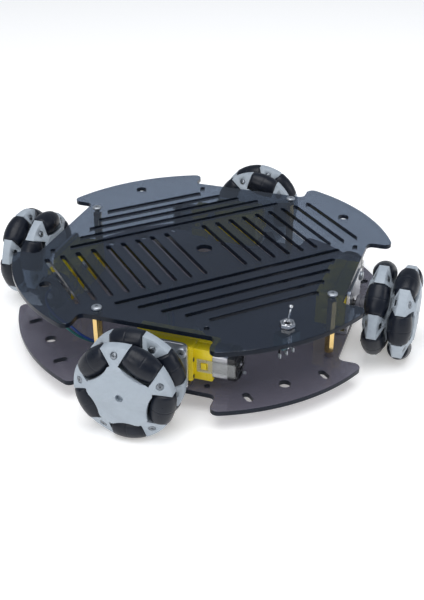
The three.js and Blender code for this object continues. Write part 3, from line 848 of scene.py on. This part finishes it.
def add_wheels():
    hub, coupling, fittings = scaled(hub_mesh()), scaled(coupling_mesh()), scaled(hub_fittings_mesh())
    rollers = [scaled(roller_mesh(FINE_SEAM)), scaled(roller_mesh(DEEP_SEAM))]
    draw = random.Random(7)
    for name, heading, phase in STATIONS:
        wheel = station_place(heading) @ spin(phase)
        body, node = f"wheel_{name}", [f"wheel_hub_{name}"]
        piece(f"hub_{name}", hub, HUB_PLASTIC, body, "wheel_plastic", node, wheel)
        piece(f"coupling_{name}", coupling, COLLAR, body, "motor_black", node, wheel)
        piece(f"hub_fittings_{name}", fittings, FITTING_STEEL, body, "screw_steel", node, wheel)
        for row, z, turn in (("outer", INNER_ROW + ROW_PITCH, 0), ("inner", INNER_ROW, STEP / 2)):
            for k in range(ROLLERS):
                label = f"{name}_{row}_{k + 1}"
                seat = wheel @ spin(turn + k * STEP) @ lift(ROLLER_SEAT * MM, 0, z * MM)
                mesh = rollers[draw.random() < DEEP_SEAM_CHANCE]
                place = seat @ spin(draw.uniform(0, 360), "Y")
                roller = f"roller_{label}"
                piece(f"rubber_{label}", mesh, RUBBER, roller, "roller_rubber", [roller], place)


# ---- gear motors and brackets ---------------------------------------------------------------------
def can_section(radius, half_flats):
    """A circle with two flats."""
    return [(max(-half_flats, min(half_flats, x)), y) for x, y in ring(0, 0, radius, 96)]


def along_can(x):
    """A frame whose z runs along the can, from a distance x to one side of the wheel's axis."""
    return lift(x, 0, MOTOR_MIDDLE) @ spin(90, "Y")


def gearbox_mesh():
    """Two half shells that meet at a seam, with the neck for the can, an ear, nubs and screw holes."""
    bm = bmesh.new()
    near, far = GEARBOX_ENDS
    seam_low, seam_high = MOTOR_MIDDLE - GEARBOX_SEAM, MOTOR_MIDDLE + GEARBOX_SEAM
    core = (MOTOR_MIDDLE - 1, MOTOR_MIDDLE + 1)  # what shows at the bottom of the seam
    for span in ((GEARBOX_BACK, seam_low), (seam_high, GEARBOX_FACE)):
        add_prism(bm, rounded(near, far, -GEARBOX_HALF, GEARBOX_HALF, 1.6), *span)
    add_prism(bm, rounded(near + 0.4, far - 0.4, 0.4 - GEARBOX_HALF, GEARBOX_HALF - 0.4, 1.4), *core)
    for span in ((MOTOR_MIDDLE - NECK_HALF_DEPTH, seam_low), (seam_high, MOTOR_MIDDLE + NECK_HALF_DEPTH)):
        add_prism(bm, rounded(far - 1, NECK_END, -NECK_HALF, NECK_HALF, 1.2), *span)
    add_prism(bm, rounded(far - 1, NECK_END - 0.2, 0.4 - NECK_HALF, NECK_HALF - 0.4, 1.2), *core)
    add_prism(bm, rounded(-16.3, -10.5, -3, 3, 1.4), MOTOR_MIDDLE - 1.5, MOTOR_MIDDLE + 1.5)
    box = softened(to_mesh(bm, "gearbox"), 0.45, 3, 40)
    bm = bmesh.new()
    start, end = 70, 97  # clear of both faces
    for x, y in MOTOR_SCREWS:
        add_cylinder(bm, 1.65, start, end, lift(x, y, 0), 32)
    add_cylinder(bm, 1.5, 80, 90, lift(EAR_HOLE, 0, 0), 32)
    add_cylinder(bm, 3, GEARBOX_FACE - 7.3, end)
    box = carved(box, to_mesh(bm, "holes"))
    bm = bmesh.new()
    add_mesh(bm, box)
    for turn in (0, 180):
        nub = rounded(30.6, 33.6, -1.9, 1.9, 0.3, 3)
        add_prism(bm, nub, 7.4, 8.9, lift(0, 0, MOTOR_MIDDLE) @ spin(turn, "X"))
    low = GEARBOX_BACK - 1.1
    add_lathe(bm, [(0, GEARBOX_BACK), (3.2, GEARBOX_BACK), (3, low), (0, low)])
    for y in (-8.4, 0, 8.4):
        hook = rounded(24.5, 27.2, y - 1.2, y + 1.2, 0.3, 3)
        add_prism(bm, hook, MOTOR_MIDDLE - 8.9, MOTOR_MIDDLE - 7.2)
    return to_mesh(bm, "gearbox", 30)


def clips_mesh():
    """The dark latches where the gearbox's front half closes on its back half."""
    bm = bmesh.new()
    end = GEARBOX_ENDS[1]
    for y in (-9.0, 2.0):
        latch = rounded(end - 0.15, end + 0.35, y, y + 2.2, 0.1, 2)
        add_prism(bm, latch, GEARBOX_FACE - 1.6, GEARBOX_FACE - 0.3)
    return softened(to_mesh(bm, "clips"), 0.12, 2, 40)


def can_mesh():
    """The can, and the bearing and shaft end that show in the middle of the end cap."""
    bm = bmesh.new()
    add_prism(bm, can_section(10, 7.75), 0, CAN_LENGTH, along_can(CAN_START))
    bearing = [(2.2, 13.4), (2.2, 13.9), (1.9, 14.1), (0.9, 14.1), (0.8, 14.7), (0, 14.8)]
    add_lathe(bm, bearing, along_can(CAN_START), 32)
    return softened(to_mesh(bm, "can"), 0.35, 3, 40)


def cap_mesh():
    """The end cap, with a stepped end, a raised ring and two brush holders."""
    bm = bmesh.new()
    place = along_can(CAP_START)
    add_prism(bm, can_section(9.95, 7.7), 0, 4.2, place)
    add_prism(bm, can_section(8.9, 7.0), 4.1, 5.0, place)
    add_lathe(bm, [(3.6, 4.9), (3.6, 5.6), (3.2, 5.8), (2.9, 5.8), (2.9, 4.9)], place, 32)
    for y in (-BRUSH_OFFSET, BRUSH_OFFSET):
        add_box(bm, -2.6, 2.6, y - 0.9, y + 0.9, 4.9, 5.7, place)
    return softened(to_mesh(bm, "cap"), 0.25, 2, 40)


def terminals_mesh():
    bm = bmesh.new()
    for y in (-BRUSH_OFFSET, BRUSH_OFFSET):
        add_box(bm, -0.25, 0.25, y - 0.9, y + 0.9, 5.5, 7.6, along_can(CAP_START) @ lift(3.1, 0, 0))
    return softened(to_mesh(bm, "terminals"), 0.1, 2, 40)


def strap_mesh():
    """The clear U over both flats of the can, with a window at each end for the gearbox's nub."""
    bm = bmesh.new()
    start, inner, outer, end = 28, 7.85, 8.75, 51.2
    outside = [(start, outer)] + arc(end - 1.4, outer - 1.4, 1.4, 90, 0, 8)
    outside += [(x, -y) for x, y in outside[::-1]]
    inside = [(start, inner)] + arc(end - 1.5, inner - 0.6, 0.6, 90, 0, 6)
    inside += [(x, -y) for x, y in inside[::-1]]
    middle = lift(0, 0, MOTOR_MIDDLE)
    add_prism(bm, outside + inside[::-1], -4, 4, middle @ spin(90, "X"))
    solid = to_mesh(bm, "strap", 30)
    bm = bmesh.new()
    add_prism(bm, rounded(30.2, 34.4, -2.3, 2.3, 0.4, 4), MOTOR_MIDDLE - 12, MOTOR_MIDDLE + 12)
    add_prism(bm, ring(0, 0, 3.3, 40), 48, 54, middle @ spin(90, "Y"))
    mesh = softened(carved(solid, to_mesh(bm, "windows")), 0.15, 2, 40)
    return two_toned(mesh, CLEAR, CLEAR_END, lambda face: face.center.x > end - 1.2)


def bracket_mesh():
    """An upright with rounded corners, bent to a flange that goes under the gearbox."""
    foot = BOTTOM_DECK_TOP - AXLE_HEIGHT + 0.3
    left, right, top, thick, depth = -12.5, 23.5, 14.0, 2.0, 16.0
    outer_bend, inner_bend, corner_radius = 2.2, 0.6, 3.4
    face = NOTCH_FLAT
    back = face - depth
    section = [(foot, back), (foot, face - outer_bend)]
    section += arc(foot + outer_bend, face - outer_bend, outer_bend, 180, 90, 8)[1:]
    section += [(top, face), (top, face - thick)]
    section += arc(foot + thick + inner_bend, face - thick - inner_bend, inner_bend, 90, 180, 5)
    section += [(foot + thick, back)]
    bm = bmesh.new()
    add_prism(bm, section, left, right, LENGTHWAYS)
    across = [e for e in bm.edges if abs(e.verts[0].co.x - e.verts[1].co.x) < 1e-3]
    corners = [e for e in across if all(abs(v.co.y - top) < 1e-3 for v in e.verts)]
    corners += [e for e in across if all(abs(v.co.z - back) < 1e-3 for v in e.verts)]
    bmesh.ops.bevel(bm, geom=corners, offset=corner_radius, segments=8, profile=0.5, affect="EDGES",
                    clamp_overlap=True)
    solid = to_mesh(bm, "bracket", 30)
    bm = bmesh.new()
    add_prism(bm, ring(0, 0, 4, 48), face - 5, face + 3)
    for x, y in ((-9.0, 9.5), (-9.0, -1.0)):
        add_prism(bm, ring(x, y, M3_HOLE, 32), face - 5, face + 3)
    return softened(carved(solid, to_mesh(bm, "holes")), 0.2, 2, 40)


def bracket_screws_mesh():
    """The two screws and nuts through the gearbox and the two up through the bottom deck."""
    bm = bmesh.new()
    for x, y in MOTOR_SCREWS:
        add_mesh(bm, M3_HEAD, lift(x, y, NOTCH_FLAT) @ spin(20 * y))
        start, end = 72, NOTCH_FLAT + 0.4
        shank = [(0, start), (M3_SHANK - 0.25, start), (M3_SHANK, start + 0.3), (M3_SHANK, end), (0, end)]
        add_lathe(bm, shank, lift(x, y, 0), 24)
        add_nut(bm, half_flats=2.7, hole=1.24, low=72.5, high=74.9, place=lift(x, y, 0))
    under = BOTTOM_DECK_Z - AXLE_HEIGHT
    for x in FLANGE_SCREWS:
        place = lift(x, 0, FLANGE_SCREW_DISTANCE) @ spin(-90, "X")
        add_cylinder(bm, M3_SHANK, under - 0.3, -13.2, place, 24)
        add_mesh(bm, M3_HEAD, place @ lift(0, 0, under) @ spin(180, "X"))
    return to_mesh(bm, "bracket screws")


def shaft_mesh():
    """The output shaft, with its two flats, out of the gearbox into the hub."""
    bm = bmesh.new()
    add_prism(bm, can_section(*SHAFT), GEARBOX_FACE - 6.8, GEARBOX_FACE + 5.3)
    return softened(to_mesh(bm, "shaft"), 0.15, 2, 40)


def add_drives():
    motor = (
        ("gearbox", scaled(gearbox_mesh()), YELLOW, "motor_yellow"),
        ("gearbox_clips", scaled(clips_mesh()), BLACK, "motor_black"),
        ("motor_can", scaled(can_mesh()), CAN, "motor_can"),
        ("motor_cap", scaled(cap_mesh()), BLACK, "motor_black"),
        ("motor_terminals", scaled(terminals_mesh()), STEEL, "screw_steel"),
        ("motor_strap", scaled(strap_mesh()), CLEAR, "strap_clear"),
    )
    bracket, screws, shaft = scaled(bracket_mesh()), scaled(bracket_screws_mesh()), scaled(shaft_mesh())
    for name, heading, phase in STATIONS:
        place = station_place(heading)
        for part, mesh, material, slot in motor:
            piece(f"{part}_{name}", mesh, material, "root", slot, [f"gear_motor_{name}"], place)
        node = [f"motor_bracket_{name}"]
        piece(f"bracket_{name}", bracket, ALUMINIUM, "root", "bracket_aluminium", node, place)
        piece(f"bracket_screws_{name}", screws, STEEL, "root", "screw_steel", node, place)
        body, node, place = f"wheel_{name}", [f"wheel_hub_{name}"], place @ spin(phase)
        piece(f"output_shaft_{name}", shaft, BLACK, body, "motor_black", node, place)


# ---- toggle switch --------------------------------------------------------------------------------
SWITCH_TWIST = 13.0
LEVER_THROW = 10
BUSHING_TOP = TOP_DECK_TOP + 2.6
WASHER_TOP = TOP_DECK_TOP + 0.35
CASE_BOTTOM = TOP_DECK_Z - 8.6
LUG_BOTTOM = TOP_DECK_Z - 16.0
LUG_SPOTS = (-4.9, 0, 4.9)
EYELET_LENGTH = 3.4


def bushing_mesh():
    """A threaded bushing with a flared socket for the lever, and a washer under its nut. Both are dark
    metal: painted shade in the socket and a painted shadow ring under the nut.
    """
    bm = bmesh.new()
    crest, root, pitch = 2.95, 2.72, 0.4
    profile = [(0, TOP_DECK_Z - 1), (crest, TOP_DECK_Z - 1)]
    z = TOP_DECK_Z - 0.8
    while z < BUSHING_TOP - 0.5:
        profile += [(root, z), (crest, z + pitch / 2)]
        z += pitch
    profile += [(2.6, BUSHING_TOP), (2.2, BUSHING_TOP), (1.7, BUSHING_TOP - 0.6)]
    profile += [(1.4, TOP_DECK_TOP + 0.3), (0, TOP_DECK_TOP + 0.2)]
    add_lathe(bm, profile)
    add_mesh(bm, sheet([ring(0, 0, 4.2, 48), ring(0, 0, 3.0, 48)], TOP_DECK_TOP, WASHER_TOP, 0.08))
    return two_toned(to_mesh(bm, "bushing", 50), DARK_METAL_PAINTED_SHADE, CHROME,
                     lambda face: face.center.z > BUSHING_TOP - 0.4 and face.center.xy.length > 1.9)


def switch_nut_mesh():
    bm = bmesh.new()
    add_nut(bm, half_flats=3.8, hole=3.0, low=WASHER_TOP, high=TOP_DECK_TOP + 2.5, chamfer=0.2)
    return to_mesh(bm, "switch nut", 14)


def switch_case_mesh():
    bm = bmesh.new()
    add_prism(bm, rounded(-6.4, 6.4, -3.9, 3.9, 0.4, 4), CASE_BOTTOM, TOP_DECK_Z - 0.7)
    return softened(to_mesh(bm, "switch case"), 0.2, 2, 40)


def switch_straps_mesh():
    """The two bright tongues that hold the case together, down each of its long sides."""
    bm = bmesh.new()
    section = rounded(-0.42, 0.42, -0.4, 0.4, 0.3, 4)
    for side in (-1, 1):
        for x in (side * 2.4, side * 0.7):
            add_prism(bm, section, CASE_BOTTOM + 0.2, TOP_DECK_Z - 0.5, lift(x, side * 3.95, 0))
    return softened(to_mesh(bm, "switch straps"), 0.1, 2, 40)


def lugs_mesh():
    """Three solder lugs: a bright eyelet at the end of a blade whose dark metal is painted shade under
    the deck.
    """
    bm = bmesh.new()
    for x in LUG_SPOTS:
        tab = rounded(-1, 1, LUG_BOTTOM, LUG_BOTTOM + EYELET_LENGTH, 0.9, 6)
        add_prism(bm, tab, -0.4, 0.4, lift(x, 0, 0) @ LENGTHWAYS)
    solid = softened(to_mesh(bm, "lugs"), 0.1, 2, 40)
    bm = bmesh.new()
    add_cylinder(bm, 0.45, -8, 8, lift(0, 0, LUG_BOTTOM + 1.2) @ spin(90, "Y"), 16)
    eyelets = carved(solid, to_mesh(bm, "lug holes"))
    bm = bmesh.new()
    add_mesh(bm, eyelets)
    blade_end = LUG_BOTTOM + EYELET_LENGTH
    for x in LUG_SPOTS:
        add_box(bm, x - 0.3, x + 0.3, -0.75, 0.75, blade_end - 0.4, CASE_BOTTOM + 0.2)
    return two_toned(to_mesh(bm, "lugs", 40), STEEL, DARK_METAL_PAINTED_SHADE,
                     lambda face: face.center.z > blade_end + 0.1)


def lever_mesh():
    """A bat: a thin neck that swells to a rounded tip."""
    reach, ball = 11.2, 1.25
    profile = [(0, -0.9), (0.62, -0.5), (0.58, 0.5), (0.55, 2.0), (0.66, 4.0), (0.84, 6.4), (1.0, 8.6)]
    profile += arc(0, reach - ball, ball, -35, 85, 10)
    bm = bmesh.new()
    add_lathe(bm, profile + [(0, reach)], steps=32)
    return to_mesh(bm, "lever", 60)


def add_switch():
    place = lift(0, -LOBE_HOLE[0] * MM, 0)
    askew = place @ spin(SWITCH_TWIST)
    parts = (
        ("switch_bushing", bushing_mesh(), DARK_METAL_PAINTED_SHADE, "switch_metal"),
        ("switch_nut", switch_nut_mesh(), CHROME, "switch_metal"),
        ("switch_case", switch_case_mesh(), SWITCH_BLUE, "switch_metal"),
        ("switch_straps", switch_straps_mesh(), CHROME, "switch_metal"),
        ("switch_lugs", lugs_mesh(), STEEL, "screw_steel"),
    )
    for name, mesh, material, slot in parts:
        piece(name, scaled(mesh), material, "root", slot, ["switch_body"], askew)
    pivot = place @ lift(0, 0, (TOP_DECK_TOP + 2) * MM) @ spin(LEVER_THROW, "Y")
    piece("switch_bat", scaled(lever_mesh()), CHROME, "toggle", "switch_metal", ["switch_lever"], pivot)


# ---- floor and light ------------------------------------------------------------------------------
FLOOR_REACH = 30
FLOOR_GLOW = {"Emission_Color": (1.0, 0.97, 0.92, 1), "Emission_Strength": 0.3}
SKY = (0.80, 0.88, 1.0, 1)
SKY_STRENGTH = 0.35


def add_floor():
    bm = bmesh.new()
    bmesh.ops.create_grid(bm, x_segments=2, y_segments=2, size=FLOOR_REACH)
    mesh = bpy.data.meshes.new("floor")
    bm.to_mesh(mesh)
    bm.free()
    floor = bpy.data.objects.new("floor", mesh)
    bpy.context.scene.collection.objects.link(floor)
    mesh.materials.append(
        finish("floor", (0.94, 0.94, 0.94), (0.93, 0.93, 0.935), (0.8, 0.9), bump=0.0, **FLOOR_GLOW))


def add_light(name, place, target, size, power):
    """A round lamp, in metres and watts."""
    data = bpy.data.lights.new(name, "AREA")
    data.shape = "DISK"
    data.size = size
    data.energy = power
    light = bpy.data.objects.new(name, data)
    light.location = place
    aim = Vector(target) - Vector(place)
    light.rotation_euler = aim.to_track_quat("-Z", "Y").to_euler()
    bpy.context.scene.collection.objects.link(light)


def add_studio():
    world = bpy.data.worlds.new("studio")
    bpy.context.scene.world = world
    world.use_nodes = True
    background = world.node_tree.nodes["Background"]
    background.inputs["Color"].default_value = SKY
    background.inputs["Strength"].default_value = SKY_STRENGTH
    add_light("overhead", (-0.2, -0.3, 1.6), target=(0, 0, 0), size=1.6, power=20)
    add_light("left", (-1.4, -0.7, 0.8), target=(0, 0, 0.03), size=1.0, power=7)
    add_light("right", (1.3, -0.9, 0.7), target=(0, 0, 0.03), size=0.9, power=5)
    bpy.context.scene.view_settings.view_transform = "Standard"


add_leads()
add_decks()
add_standoffs()
add_wheels()
add_drives()
add_switch()
add_floor()
add_studio()
